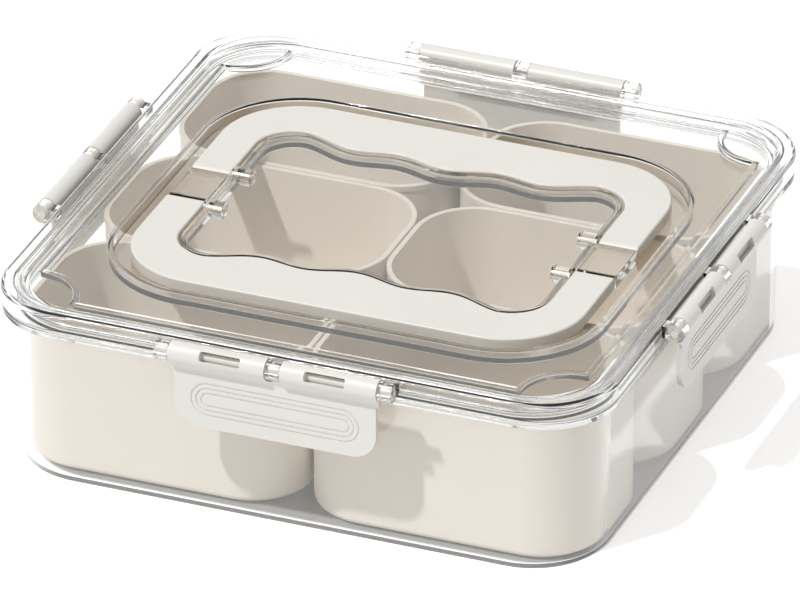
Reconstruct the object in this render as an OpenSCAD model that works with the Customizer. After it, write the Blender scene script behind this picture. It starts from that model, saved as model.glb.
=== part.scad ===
// Clear square caddy: six lift-out cups in a box, under a lift-off lid with four flap
// latches and two flip handles. Millimetres, +Z up, origin under the centre of the box,
// +X to the right along the front, -Y towards the front.

/* [Base box] */
// Width of the box across its walls at the floor
base_w = 235; // [228:1:248]
// Height of the box's walls
base_h = 68.2; // [58:0.2:82]
// Corner radius of the walls at the rim
base_corner_r = 31.4; // [28:0.2:36]
// Outward lean of the walls, in mm per mm of height
base_lean = 0.02; // [0.005:0.005:0.03]
// Thickness of the box's walls
wall_t = 2.2; // [1.8:0.1:2.6]
// Thickness of the box's floor
floor_t = 2.2; // [1.8:0.1:3]
// Rounding of the box's outer bottom edge
foot_r = 2.5; // [1.5:0.5:4]
// How far the rim flange stands out from the wall
flange_reach = 4.3; // [3.8:0.1:5]
// Thickness of the rim flange
flange_t = 2.7; // [2:0.1:3.5]
// Height of the wall above the rim flange
rim_up = 1.6; // [1.2:0.1:2.4]

/* [Lid] */
// Corner radius of the lid's outer edge
lid_corner_r = 30.5; // [27:0.5:33]
// Height of the lid's top above the box's rim
lid_rise = 6.6; // [6.2:0.1:9]
// Thickness of the lid's rim plate
rim_t = 2.4; // [2:0.1:3]
// Rounding of the lid's outer top edge
rim_round_r = 2; // [1:0.25:2.5]
// Width of the raised band round the lid's edge
band_w = 6.8; // [5:0.2:8]
// Step from the raised band down to the ledge
ledge_drop = 1.2; // [0.6:0.1:1.4]
// Width of the ledge between the raised band and the sunk panel
ledge_w = 7.7; // [6:0.1:8]
// Depth of the sunk panel below the lid's top
panel_drop = 3.8; // [3.2:0.1:4.4]
// Thickness of the sunk panel
panel_t = 2; // [1.6:0.1:2.4]
// Thickness of the lid's upright inner walls and of the trough's floor
lid_wall_t = 1.6; // [1.2:0.1:2]
// Radius of the round bite at each corner of the panel
bite_r = 20; // [14:1:24]
// Depth of the plug wall inside the box, below the box's rim
plug_depth = 3; // [2:0.5:4]
// Thickness of the plug wall
plug_t = 1.7; // [1.2:0.1:2]
// Thickness of the lid's skirt
skirt_t = 2.2; // [1.8:0.1:2.6]

/* [Handles] */
// Width of each handle over its arms
handle_w = 182.6; // [174:0.2:186]
// Distance of each handle's outer edge from the middle of the lid
handle_reach = 74.6; // [71:0.2:78]
// Outer corner radius of the handles
handle_corner_r = 32; // [26:1:35]
// Thickness of the handles
handle_t = 5.2; // [4.6:0.1:5.4]
// Height of the handles' top above the panel
handle_proud = 0.2; // [0:0.1:0.6]
// Width of each arm of a handle
arm_w = 16.1; // [14:0.1:18]
// Inner corner radius of the handles
grip_corner_r = 16; // [13:1:18]
// Distance of the wavy grip edge from the middle of the lid, on average
grip_reach = 46.8; // [44:0.2:49]
// Height of the waves of the grip edge, from the mean line
grip_wave = 2; // [1:0.2:3]
// Length of one wave of the grip edge
grip_pitch = 40; // [36:1:44]
// How far the grip edge bows outward towards its ends
grip_bow = 7.6; // [4:0.2:9]
// Distance of the handles' pivots from the middle of the lid
pivot_y = 14.2; // [13:0.2:18]
// Radius of the handles' pivot pins
handle_pin_r = 1.2; // [1:0.05:1.4]
// How deep a pivot pin reaches into the handle's arm
handle_pin_grip = 9; // [6:0.5:12]
// Radius of the lid's handle knuckles
handle_knuckle_r = 3.9; // [3.2:0.1:4.1]
// Width of the lid's handle knuckles
handle_knuckle_w = 8; // [5:0.5:9]
// Width of the finger trough beside the handles' outer edges
trough_w = 6.6; // [5.6:0.2:8]

/* [Latches] */
// Width of each latch flap
latch_w = 81; // [74:1:82]
// Drop of the flap's lower edge below its hinge
latch_drop = 30.1; // [26:0.1:36]
// Radius of the flap's lower corners
latch_corner_r = 10; // [6:0.5:12]
// Thickness of the flap
flap_t = 2.2; // [1.8:0.1:2.6]
// Radius of the latch's hinge barrels
barrel_r = 4.2; // [3.6:0.1:4.4]
// Radius of the hollow curve from the barrels down into the flap
cove_r = 5; // [3:0.5:7]
// Length of each hinge barrel
barrel_len = 38.7; // [38:0.1:44]
// Width of each latch knuckle on the lid
knuckle_w = 5.6; // [4:0.2:7]
// Radius of the latch knuckles
knuckle_r = 4; // [3.4:0.1:4.4]
// Radius of the latch pins
pin_r = 1.5; // [1.2:0.1:1.8]
// Distance of the latch hinge outside the lid's edge
hinge_out = 4.9; // [4.7:0.1:6]
// Depth of the latch hinge below the lid's top
hinge_drop = 2.7; // [2.2:0.1:3.2]
// Width of the window in each barrel
window_w = 16.4; // [10:0.2:22]
// Height of the window in each barrel
window_h = 3.8; // [3:0.1:4.4]
// Distance of each window's middle from the latch's middle
window_x = 21; // [18:0.2:26]
// Length of the hook bead inside each flap
hook_len = 56; // [30:1:70]
// Length of the long oval on the flap
oval_w = 68; // [50:1:72]
// Height of the long oval on the flap
oval_h = 14; // [10:0.5:16]
// Distance of the long oval's middle below the hinge
oval_drop = 17.8; // [16:0.2:19]

/* [Cups] */
// Corner radius of the cups at their rims
cup_corner_r = 25; // [18:1:28]
// Outward lean of the cups' walls, in mm per mm of height
cup_lean = 0.005; // [0.005:0.005:0.03]
// Thickness of the cups' walls and floors
cup_t = 1.6; // [1.2:0.1:2]
// Rounding of the cups' outer bottom edge
cup_foot_r = 3; // [2:0.5:6]
// How far the cups' rim lip stands out
lip_reach = 0.4; // [0.3:0.1:0.8]
// Height of the cups' rim lip
lip_h = 2.4; // [1.6:0.2:4]
// Gap between neighbouring cups at their rims
cup_gap = 0.8; // [0.6:0.1:2]
// Gap between the cups and the box's side walls, at the rim
side_gap = 1.2; // [1:0.1:3]
// Gap between the cups and the box's front and back walls, at the rim
end_gap = 4.6; // [3:0.1:8]
// Gap between the cups' rims and the lid's trough
cup_headroom = 2.4; // [0.6:0.1:4]

/* [Fits] */
// Gap between pieces that rest on each other or move past each other
play = 0.3; // [0.25:0.05:0.4]
// Radial gap between a pin and the hole that turns on it
running_gap = 0.06; // [0.04:0.01:0.08]
// Radial gap between a pin and the hole that holds it
fixed_gap = 0.02; // [0.01:0.01:0.03]
// Gap between the box's wall and the lid's plug wall
plug_gap = 0.6; // [0.5:0.05:0.8]
// How far the lid's skirt stands out past the rim flange
skirt_proud = 0.3; // [0.1:0.05:0.4]

/* [Hidden] */
CUP_NODES = ["cup_front_left", "cup_front_right", "cup_middle_left", "cup_middle_right",
    "cup_back_left", "cup_back_right"];
LATCH_NODES = ["latch_front", "latch_right", "latch_back", "latch_left"];
LATCH_PIN_NODES = ["latch_pin_front", "latch_pin_right", "latch_pin_back", "latch_pin_left"];
HANDLE_NODES = ["handle_front", "handle_back"];
HANDLE_PIN_NODES = ["handle_pin_front_left", "handle_pin_front_right",
    "handle_pin_back_left", "handle_pin_back_right"];
$fn = 64;

// A cutter reaches this far past the solid that it cuts
over = 1;

// Box, from the floor up
base_top_half = base_w / 2 + base_lean * base_h;
flange_half = base_top_half + flange_reach;
flange_top_z = base_h - rim_up;

// Lid, from its edge inward
lid_half = flange_half + skirt_proud;
lid_top_z = base_h + lid_rise;
rim_under_z = lid_top_z - rim_t;
skirt_z = flange_top_z + play;
skirt_in_half = lid_half - skirt_t;
plug_half = base_top_half - wall_t - plug_gap;
plug_corner_r = base_corner_r - wall_t - plug_gap;
band_in_half = lid_half - band_w;
panel_half = band_in_half - ledge_w;
ledge_z = lid_top_z - ledge_drop;
panel_z = lid_top_z - panel_drop;
panel_under_z = panel_z - panel_t;

// Handles and their trough
handle_half = handle_w / 2;
handle_top_z = panel_z + handle_proud;
handle_z = handle_top_z - handle_t;
pivot_z = handle_z + handle_t / 2;
arm_in_x = handle_half - arm_w;
trough_floor_z = handle_z - play;
trough_under_z = trough_floor_z - lid_wall_t;
trough_half_x = handle_half + trough_w;
trough_half_y = handle_reach + trough_w;
trough_corner_r = handle_corner_r + trough_w;
island_gap = 1;
rest_end_y = pivot_y - handle_t / 2 - 2 * play;

// Latches, on the front side; the others are turned copies
hinge_half = lid_half + hinge_out;
hinge_z = lid_top_z - hinge_drop;
barrel_mid_x = knuckle_w / 2 + play + barrel_len / 2;
knuckle_mid_x = barrel_mid_x + barrel_len / 2 + play + knuckle_w / 2;
flap_front = 0.4;
flap_z = hinge_z - latch_drop;
hook_top_z = flange_top_z - flange_t - 1.5 * play;
hook_h = 3.4;
hook_nose_h = 1.2;
window_tilt = 29;
groove_depth = 0.35;
groove_w = 0.7;
groove_pitch = 2;

// Cups
cup_top_z = trough_under_z - cup_headroom;
cup_z = floor_t + play;
cup_h = cup_top_z - cup_z;
cup_field_x = base_top_half - wall_t - side_gap;
cup_field_y = base_top_half - wall_t - end_gap;
cup_half_x = (cup_field_x - cup_gap / 2) / 2;
cup_half_y = (cup_field_y - cup_gap) / 3;
cup_step_x = 2 * cup_half_x + cup_gap;
cup_step_y = 2 * cup_half_y + cup_gap;

clear_tint = [0.86, 0.89, 0.9, 0.35];
cream = [0.91, 0.9, 0.87];
cup_cream = [0.89, 0.86, 0.82];

// Rounded rectangle, half sizes hx and hy, centred
module round_rect(hx, hy, r) {
    square([2 * (hx - r), 2 * hy], center = true);
    square([2 * hx, 2 * (hy - r)], center = true);
    for (sx = [-1, 1], sy = [-1, 1])
        translate([sx * (hx - r), sy * (hy - r)]) circle(r);
}

// Rounded square slab from z0 to z1
module round_slab(half, r, z0, z1) {
    translate([0, 0, z0])
        linear_extrude(height = z1 - z0) round_rect(half, half, r);
}

// Outer edge of a leaning wall with a rounded foot, as (distance, height) points;
// reach is the wall's distance at its top
function tub_edge(reach, h, lean, foot) = concat(
    [for (a = [0:15:90])
        [reach - lean * (h - foot) - foot + foot * sin(a), foot * (1 - cos(a))]],
    [[reach, h]]);

// Its mirror image, in the other order, to close a symmetric profile
function tub_edge_back(reach, h, lean, foot) =
    let (edge = tub_edge(reach, h, lean, foot), last = len(edge) - 1)
        [for (i = [0:last]) [-edge[last - i][0], edge[last - i][1]]];

// Solid tub with leaning walls, standing on z = 0: half sizes and corner radius at its top
module tub(hx, hy, r, h, lean, foot) {
    rotate([90, 0, 0])
        linear_extrude(height = 2 * (hy - r), center = true)
            polygon(concat(tub_edge(hx, h, lean, foot), tub_edge_back(hx, h, lean, foot)));
    rotate([90, 0, 90])
        linear_extrude(height = 2 * (hx - r), center = true)
            polygon(concat(tub_edge(hy, h, lean, foot), tub_edge_back(hy, h, lean, foot)));
    for (sx = [-1, 1], sy = [-1, 1])
        translate([sx * (hx - r), sy * (hy - r), 0])
            rotate_extrude()
                polygon(concat([[0, 0]], tub_edge(r, h, lean, foot), [[0, h]]));
}

// Open tub with its wall and floor
module open_tub(hx, hy, r, h, lean, foot, wall, bottom) {
    foot_in = max(foot - bottom, 0.8);
    difference() {
        tub(hx, hy, r, h, lean, foot);
        translate([0, 0, bottom])
            tub(hx - wall + lean * over, hy - wall + lean * over, r - wall + lean * over,
                h - bottom + over, lean, foot_in);
    }
}

// Turns what is built on the front side to side i: 0 front, 1 right, 2 back, 3 left
module on_side(i) {
    rotate([0, 0, 90 * i]) children();
}

// Clear outer box with its rim flange
module base_box() {
    color(clear_tint) {
        open_tub(base_top_half, base_top_half, base_corner_r, base_h, base_lean, foot_r,
            wall_t, floor_t);
        difference() {
            round_slab(flange_half, lid_corner_r - skirt_proud,
                flange_top_z - flange_t, flange_top_z);
            round_slab(base_top_half - wall_t / 2, base_corner_r - wall_t / 2,
                flange_top_z - flange_t - over, flange_top_z + over);
        }
    }
}

// Distance of the grip edge from the middle of the lid, at x
function grip_y(x) = grip_reach + grip_bow * pow(x / arm_in_x, 2)
    - grip_wave * cos(360 * x / grip_pitch);

// Outline inside both handles, drawn in by inset: the hole in the handles, or the island
module grip_outline(inset) {
    r = grip_corner_r;
    x_end = arm_in_x - r;
    y_end = grip_y(x_end) - r;
    steps = 48;
    edge = [for (i = [0:steps]) x_end * (2 * i / steps - 1)];
    polygon(concat([for (x = edge) [x, -grip_y(x) + inset]],
        [for (i = [0:steps]) [edge[steps - i], grip_y(edge[i]) - inset]]));
    square([2 * (arm_in_x - inset), 2 * y_end], center = true);
    for (sx = [-1, 1], sy = [-1, 1])
        translate([sx * x_end, sy * y_end]) circle(r - inset);
}

// Sunk panel's outline, grown by grow, with a round bite at each corner
module panel_outline(grow) {
    difference() {
        square(2 * (panel_half + grow), center = true);
        for (sx = [-1, 1], sy = [-1, 1])
            translate([sx * panel_half, sy * panel_half]) circle(bite_r - grow);
    }
}

// Trough's outline, grown by grow
module trough_outline(grow) {
    round_rect(trough_half_x + grow, trough_half_y + grow, trough_corner_r + grow);
}

// Upright slab of a flat outline, from z0 to z1
module rise(z0, z1) {
    translate([0, 0, z0]) linear_extrude(height = z1 - z0) children();
}

// Lid's outer block with its rounded top edge, filled
module rim_block() {
    corner = lid_half - lid_corner_r;
    edge = concat([[lid_corner_r, 0]],
        [for (a = [0:15:90])
            [lid_corner_r - rim_round_r + rim_round_r * cos(a),
                lid_top_z - skirt_z - rim_round_r + rim_round_r * sin(a)]]);
    side = [for (p = edge) [p[0] + corner, p[1]]];
    last = len(side) - 1;
    far_side = [for (i = [0:last]) [-side[last - i][0], side[last - i][1]]];
    translate([0, 0, skirt_z]) {
        for (turn = [0, 90])
            rotate([90, 0, turn])
                linear_extrude(height = 2 * corner, center = true)
                    polygon(concat(side, far_side));
        for (sx = [-1, 1], sy = [-1, 1])
            translate([sx * corner, sy * corner, 0])
                rotate_extrude()
                    polygon(concat([[0, 0]], edge, [[0, lid_top_z - skirt_z]]));
    }
}

// Lid's skirt, raised band and ledge, round the panel
module lid_rim() {
    difference() {
        rim_block();
        round_slab(skirt_in_half, lid_corner_r - skirt_t, skirt_z - over, rim_under_z);
        round_slab(band_in_half, lid_corner_r - band_w, ledge_z, lid_top_z + over);
        rise(skirt_z - over, lid_top_z + over) panel_outline(0);
    }
    difference() {
        round_slab(plug_half, plug_corner_r, base_h - plug_depth, rim_under_z + rim_t / 4);
        round_slab(plug_half - plug_t, plug_corner_r - plug_t,
            base_h - plug_depth - over, rim_under_z + rim_t);
    }
}

// Sunk panel with its upright edge
module lid_panel() {
    rise(panel_under_z, ledge_z) difference() {
        panel_outline(lid_wall_t);
        panel_outline(0);
    }
    rise(panel_under_z, panel_z) difference() {
        panel_outline(lid_wall_t / 2);
        trough_outline(0);
    }
}

// Ring trough that the handles lie in, and the wavy island inside them
module lid_trough() {
    rise(trough_under_z, panel_z) difference() {
        trough_outline(lid_wall_t);
        trough_outline(0);
    }
    rise(trough_under_z, trough_floor_z) difference() {
        trough_outline(lid_wall_t / 2);
        grip_outline(island_gap + lid_wall_t);
    }
    rise(trough_under_z, panel_z) difference() {
        grip_outline(island_gap);
        grip_outline(island_gap + lid_wall_t);
    }
    rise(panel_under_z, panel_z) grip_outline(island_gap + lid_wall_t / 2);
}

// Blocks between the ends of the two handles, left and right
module lid_rests() {
    for (s = [-1, 1])
        translate([s * (arm_in_x + arm_w / 2), 0, (trough_under_z + panel_z) / 2])
            cube([arm_w, 2 * rest_end_y, panel_z - trough_under_z], center = true);
}

// Places its children at each handle pivot; si is the side in x, sj the handle
module at_pivots() {
    for (si = [-1, 1], sj = [-1, 1])
        translate([si * (arm_in_x - play - handle_knuckle_w / 2), sj * pivot_y, pivot_z])
            rotate([0, 90, 0]) children();
}

// Knuckles on one side of the lid for its latch
module latch_knuckles() {
    for (x = [-knuckle_mid_x, 0, knuckle_mid_x])
        translate([x, -hinge_half, hinge_z]) {
            rotate([0, 90, 0]) cylinder(r = knuckle_r, h = knuckle_w, center = true);
            translate([-knuckle_w / 2, 0, -hinge_drop])
                cube([knuckle_w, hinge_out + skirt_t / 2, 2 * hinge_drop - play]);
        }
}

// Hole through one side's latch knuckles, or through a latch's barrels
module latch_bore(r) {
    translate([0, -hinge_half, hinge_z])
        rotate([0, 90, 0])
            cylinder(r = r, h = 2 * knuckle_mid_x + knuckle_w + 2 * over, center = true);
}

// Clear lift-off lid
module lid() {
    color(clear_tint) difference() {
        union() {
            lid_rim();
            lid_panel();
            lid_trough();
            lid_rests();
            at_pivots() cylinder(r = handle_knuckle_r, h = handle_knuckle_w, center = true);
            for (i = [0:3]) on_side(i) latch_knuckles();
        }
        at_pivots()
            cylinder(r = handle_pin_r + fixed_gap, h = handle_knuckle_w + over, center = true);
        for (i = [0:3]) on_side(i) latch_bore(pin_r + fixed_gap);
    }
}

// Soft clear ring between the box's rim and the lid
module seal_ring() {
    ring_half = base_top_half + play;
    ring_corner_r = base_corner_r + play;
    ring_w = ring_half - plug_half - play;
    color(clear_tint) difference() {
        round_slab(ring_half, ring_corner_r, base_h + play, rim_under_z);
        round_slab(ring_half - ring_w, ring_corner_r - ring_w,
            base_h - over, rim_under_z + over);
    }
}

// Cup in column i, 0 left or 1 right, and row j, 0 front to 2 back
module cup(i, j) {
    body_x = cup_half_x - lip_reach;
    body_y = cup_half_y - lip_reach;
    body_r = cup_corner_r - lip_reach;
    color(cup_cream) translate([(i - 0.5) * cup_step_x, (j - 1) * cup_step_y, cup_z]) {
        open_tub(body_x, body_y, body_r, cup_h, cup_lean, cup_foot_r, cup_t, cup_t);
        difference() {
            rise(cup_h - lip_h, cup_h) round_rect(cup_half_x, cup_half_y, cup_corner_r);
            rise(cup_h - lip_h - over, cup_h + over)
                round_rect(body_x - cup_t / 2, body_y - cup_t / 2, body_r - cup_t / 2);
        }
    }
}

// Long oval ring on the front of a flap, drawn in by inset
module oval_groove(inset) {
    r = oval_h / 2 - inset;
    straight = oval_w - oval_h;
    difference() {
        union() {
            square([straight, 2 * r], center = true);
            for (s = [-1, 1]) translate([s * straight / 2, 0]) circle(r);
        }
        square([straight, 2 * (r - groove_w)], center = true);
        for (s = [-1, 1]) translate([s * straight / 2, 0]) circle(r - groove_w);
    }
}

// Flap's outline in x and z, with round lower corners, up to the hinge
module flap_outline() {
    half = latch_w / 2;
    r = latch_corner_r;
    translate([-half, flap_z + r]) square([latch_w, latch_drop - r]);
    translate([-half + r, flap_z]) square([latch_w - 2 * r, r + over]);
    for (s = [-1, 1]) translate([s * (half - r), flap_z + r]) circle(r);
}

// Hollow curve that leads from a barrel down into the flap's front
module barrel_cove() {
    out = flap_front + cove_r;
    down = sqrt(pow(barrel_r + cove_r, 2) - pow(out, 2));
    rotate([90, 0, -90]) linear_extrude(height = barrel_len, center = true)
        difference() {
            polygon([[flap_front - flap_t / 2, 0], [0, 0], [out, -down],
                [flap_front - flap_t / 2, -down]]);
            translate([out, -down]) circle(cove_r);
        }
}

// Bead inside the flap that lies just under the box's rim flange
module hook_bead() {
    face = -hinge_half - flap_front + flap_t;
    nose = -flange_half - play;
    rotate([90, 0, 90])
        linear_extrude(height = hook_len, center = true)
            polygon([[face - flap_t / 2, hook_top_z], [nose, hook_top_z],
                [nose, hook_top_z - hook_nose_h], [face, hook_top_z - hook_h],
                [face - flap_t / 2, hook_top_z - hook_h]]);
}

// Off-white flap latch, built on the front side
module latch(i) {
    front = -hinge_half - flap_front;
    color(cream) on_side(i) difference() {
        union() {
            for (s = [-1, 1])
                translate([s * barrel_mid_x, -hinge_half, hinge_z]) {
                    rotate([0, 90, 0]) cylinder(r = barrel_r, h = barrel_len, center = true);
                    barrel_cove();
                }
            translate([0, front + flap_t, 0])
                rotate([90, 0, 0]) linear_extrude(height = flap_t) flap_outline();
            hook_bead();
        }
        latch_bore(pin_r + running_gap);
        translate([-knuckle_w / 2 - play, -hinge_half - knuckle_r - over,
                hinge_z - knuckle_r - play])
            cube([knuckle_w + 2 * play, 2 * (knuckle_r + over), 2 * (knuckle_r + over)]);
        for (s = [-1, 1])
            translate([s * window_x, -hinge_half, hinge_z])
                rotate([-window_tilt, 0, 0])
                    translate([-window_w / 2, -barrel_r - over, -window_h / 2])
                        cube([window_w, barrel_r + over, window_h]);
        for (k = [0:2])
            translate([0, front + groove_depth, hinge_z - oval_drop])
                rotate([90, 0, 0])
                    linear_extrude(height = groove_depth + over) oval_groove(k * groove_pitch);
    }
}

// Straight pin through one latch and its three knuckles
module latch_pin(i) {
    color(cream) on_side(i)
        translate([0, -hinge_half, hinge_z])
            rotate([0, 90, 0])
                cylinder(r = pin_r, h = 2 * knuckle_mid_x + knuckle_w - play, center = true);
}

// U-shaped handle, side -1 in front and 1 at the back
module handle(side) {
    color(cream) difference() {
        union() {
            rise(handle_z, handle_top_z) intersection() {
                difference() {
                    round_rect(handle_half, handle_reach, handle_corner_r);
                    grip_outline(0);
                }
                translate([-handle_half - over, side > 0 ? pivot_y : -pivot_y - handle_reach])
                    square([handle_w + 2 * over, handle_reach]);
            }
            for (s = [-1, 1])
                translate([s * (arm_in_x + arm_w / 2), side * pivot_y, pivot_z])
                    rotate([0, 90, 0]) cylinder(r = handle_t / 2, h = arm_w, center = true);
        }
        for (s = [-1, 1])
            translate([s * arm_in_x, side * pivot_y, pivot_z])
                rotate([0, 90, 0])
                    cylinder(r = handle_pin_r + running_gap,
                        h = 2 * (handle_pin_grip + play), center = true);
    }
}

// Short pivot pin of a handle: sx is its side, sy its handle
module handle_pin(sx, sy) {
    inner = arm_in_x - play - handle_knuckle_w;
    outer = arm_in_x + handle_pin_grip;
    color(cream)
        translate([sx * (inner + outer) / 2, sy * pivot_y, pivot_z])
            rotate([0, 90, 0]) cylinder(r = handle_pin_r, h = outer - inner, center = true);
}

base_box();
lid();
seal_ring();
for (i = [0:5])
    cup(i % 2, floor(i / 2));
for (i = [0:3])
    latch(i);
for (i = [0:3])
    latch_pin(i);
for (i = [0:1])
    handle(2 * i - 1);
for (i = [0:3])
    handle_pin(2 * (i % 2) - 1, 2 * floor(i / 2) - 1);
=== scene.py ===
import math

import bmesh
import bpy
from bpy.props import FloatProperty, FloatVectorProperty, IntProperty, PointerProperty
from mathutils import Matrix, Vector


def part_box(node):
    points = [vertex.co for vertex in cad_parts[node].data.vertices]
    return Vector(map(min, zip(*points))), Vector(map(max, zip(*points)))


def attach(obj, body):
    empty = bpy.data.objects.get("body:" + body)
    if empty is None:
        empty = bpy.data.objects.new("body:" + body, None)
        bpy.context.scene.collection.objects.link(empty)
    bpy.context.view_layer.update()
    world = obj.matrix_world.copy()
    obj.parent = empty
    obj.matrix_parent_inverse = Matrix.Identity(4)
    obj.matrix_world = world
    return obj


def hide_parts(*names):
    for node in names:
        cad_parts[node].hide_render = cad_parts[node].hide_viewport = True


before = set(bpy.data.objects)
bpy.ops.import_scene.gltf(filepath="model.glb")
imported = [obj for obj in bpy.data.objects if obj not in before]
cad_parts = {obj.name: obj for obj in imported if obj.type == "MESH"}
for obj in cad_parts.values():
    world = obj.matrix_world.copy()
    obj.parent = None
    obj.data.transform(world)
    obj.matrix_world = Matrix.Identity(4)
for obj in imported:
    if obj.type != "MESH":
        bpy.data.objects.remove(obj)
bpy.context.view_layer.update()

bl_info = {
    "name": "Clear latched caddy",
    "version": (1, 0, 0),
    "blender": (4, 5, 0),
    "location": "View3D > Sidebar > Caddy",
    "description": "Builds a clear caddy with six cups, four latches and two flip handles",
    "category": "Object",
}

SIDES = ("front", "right", "back", "left")
CUPS = tuple("cup_%s_%s" % (row, side) for row in ("front", "middle", "back")
             for side in ("left", "right"))
PINS = (tuple("latch_pin_" + side for side in SIDES)
        + tuple("handle_pin_%s_%s" % (row, side) for row in ("front", "back")
                for side in ("left", "right")))
CORNERS = ((1, 1), (-1, 1), (-1, -1), (1, -1))
WHITE = (1, 1, 1, 1)
# Lengths in metres: what counts as nothing, and how far cutters stand out of what they cut
TINY = 1e-5
PAST = 0.01
JUST_PAST = 0.001


def length(description, millimetres):
    """A size, kept in metres, that the panel shows as a length."""
    return FloatProperty(description=description, default=millimetres / 1000, min=0.0,
                         unit="LENGTH", precision=4)


def plain(description, default):
    """A plain number."""
    return FloatProperty(description=description, default=default, precision=4)


def colour(description, default):
    """A colour that the panel shows as a swatch."""
    return FloatVectorProperty(description=description, default=default, size=4, min=0.0,
                               max=1.0, subtype="COLOR")


class CaddySizes(bpy.types.PropertyGroup):
    """Sizes of the caddy's pieces"""
    corner_steps: IntProperty(description="Faces round each large corner", default=20, min=4)
    edge_round: length("Small rounding of moulded edges", 0.4)
    lid_round: length("Rounding of the lid sheet's edges", 0.7)
    wall: length("Thickness of the box's walls and floor", 2.2)
    box_half: length("From the middle to the wall at the rim", 118.864)
    box_height: length("Height of the box's rim", 68.2)
    box_corner: length("Corner radius of the box at its rim", 31.4)
    box_foot: length("Rounding of the box's bottom edge", 2.5)
    box_lean: plain("Outward lean of the box's walls", 0.02)
    flange_reach: length("How far the rim flange stands out", 4.3)
    flange_t: length("Thickness of the rim flange", 2.7)
    flange_corner: length("Corner radius of the rim flange", 30.2)
    rim_up: length("Height of the wall above the flange", 1.6)
    cup_corner: length("Corner radius of the cups at their rims", 25)
    cup_wall: length("Thickness of the cups", 1.6)
    cup_foot: length("Rounding of the cups' bottom edge", 3)
    cup_lean: plain("Outward lean of the cups' walls", 0.005)
    lip_reach: length("How far the cups' lips stand out", 0.4)
    lip_height: length("Height of the cups' lips", 2.4)
    lid_half: length("From the middle to the lid's edge", 123.464)
    lid_corner: length("Corner radius of the lid's edge", 30.5)
    lid_top: length("Height of the lid's top", 74.8)
    skirt_low: length("Height of the skirt's lower edge", 66.9)
    shell: length("Thickness of the lid", 1.8)
    rim_round: length("Rounding of the lid's outer top edge", 2)
    band: length("Width of the raised band round the lid", 6.8)
    ledge_drop: length("Step from the band down to the ledge", 1.2)
    panel_half: length("From the middle to the panel's edge", 108.964)
    panel_drop: length("Depth of the sunk panel", 3.8)
    bite: length("Radius of the round bite at each panel corner", 20)
    trough_floor: length("Height of the trough's floor", 65.7)
    trough_w: length("Width of the trough beside the handles", 6.6)
    island_gap: length("Gap between the island and the handles", 1)
    plug_half: length("From the middle to the plug wall", 116.064)
    plug_corner: length("Corner radius of the plug wall", 28.6)
    plug_t: length("Thickness of the plug wall", 1.7)
    plug_low: length("Height of the plug's lower edge", 65.2)
    handle_half: length("From the middle to a handle's side", 91.3)
    handle_reach: length("From the middle to a handle's outer edge", 74.6)
    handle_corner: length("Outer corner radius of the handles", 32)
    handle_t: length("Thickness of the handles", 5.2)
    handle_low: length("Height of the handles' underside", 66)
    handle_round: length("Rounding of the handles' edges", 0.8)
    arm_w: length("Width of each arm of a handle", 16.1)
    grip_corner: length("Inner corner radius of the handles", 16)
    grip_reach: length("From the middle to the wavy grip edge", 46.8)
    grip_wave: length("Height of the grip edge's waves", 2)
    grip_pitch: length("Length of one wave", 40)
    grip_bow: length("Bow of the grip edge towards its ends", 7.6)
    pivot_y: length("From the middle to the handles' pivots", 14.2)
    handle_bore: length("Radius of the handles' pin holes", 1.26)
    handle_bore_deep: length("Depth of the handles' pin holes", 9.3)
    handle_knuckle: length("Radius of the lid's handle knuckles", 3.9)
    handle_knuckle_w: length("Width of these knuckles", 8)
    hinge_half: length("From the middle to the latch hinges", 128.364)
    hinge_z: length("Height of the latch hinges", 72.1)
    knuckle: length("Radius of the lid's latch knuckles", 4)
    knuckle_w: length("Width of these knuckles", 5.6)
    barrel: length("Radius of the latches' hinge barrels", 4.2)
    barrel_len: length("Length of each hinge barrel", 38.7)
    latch_bore: length("Radius of the latches' pin holes", 1.56)
    lid_bore: length("Radius of the pin holes in the lid's knuckles", 1.52)
    cove: length("Radius of the hollow from the barrels into the flap", 5)
    flap_w: length("Width of each latch's flap", 81)
    flap_drop: length("From the hinge down to the flap's edge", 30.1)
    flap_t: length("Thickness of the flap", 2.2)
    flap_front: length("From the hinge out to the flap's face", 0.4)
    flap_corner: length("Radius of the flap's lower corners", 10)
    window_w: length("Width of the window in each barrel", 16.4)
    window_h: length("Height of the window in each barrel", 3.8)
    window_x: length("From the latch's middle to a window's", 21)
    hook_len: length("Length of the bead inside the flap", 56)
    hook_top: length("Height of the bead's upper face", 63.45)
    oval_w: length("Length of the grooved oval on the flap", 68)
    oval_h: length("Height of the grooved oval", 14)
    oval_drop: length("From the hinge down to the oval", 17.8)
    groove_w: length("Width of each groove", 0.7)
    groove_deep: length("Depth of each groove", 0.35)
    groove_pitch: length("From one groove to the next", 2)
    play: length("Gap between pieces that move past each other", 0.3)


class CaddyColours(bpy.types.PropertyGroup):
    """Colours of the caddy's finishes"""
    box: colour("Tint of the clear box", (0.965, 0.97, 0.965, 1))
    lid: colour("Tint of the clear lid and its ring", (0.985, 0.99, 0.99, 1))
    cup: colour("Off-white of the cups", (0.87, 0.803, 0.712, 1))
    latch: colour("Off-white of the latches", (0.8, 0.782, 0.735, 1))
    handle: colour("Off-white of the handles", (0.8, 0.775, 0.725, 1))
    floor: colour("Colour of the floor", (0.9, 0.9, 0.9, 1))
    # Painted shade: a darker floor colour under the box, where the cups and walls shade the
    # floor
    covered: colour("Colour of the floor under the box", (0.46, 0.46, 0.46, 1))


# Objects and selection

def ready():
    """Leaves edit mode and deselects everything."""
    if bpy.context.object and bpy.context.object.mode != "OBJECT":
        bpy.ops.object.mode_set(mode="OBJECT")
    bpy.ops.object.select_all(action="DESELECT")


def activate(piece):
    """Makes this piece the only selected one, in object mode."""
    ready()
    piece.select_set(True)
    bpy.context.view_layer.objects.active = piece


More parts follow.
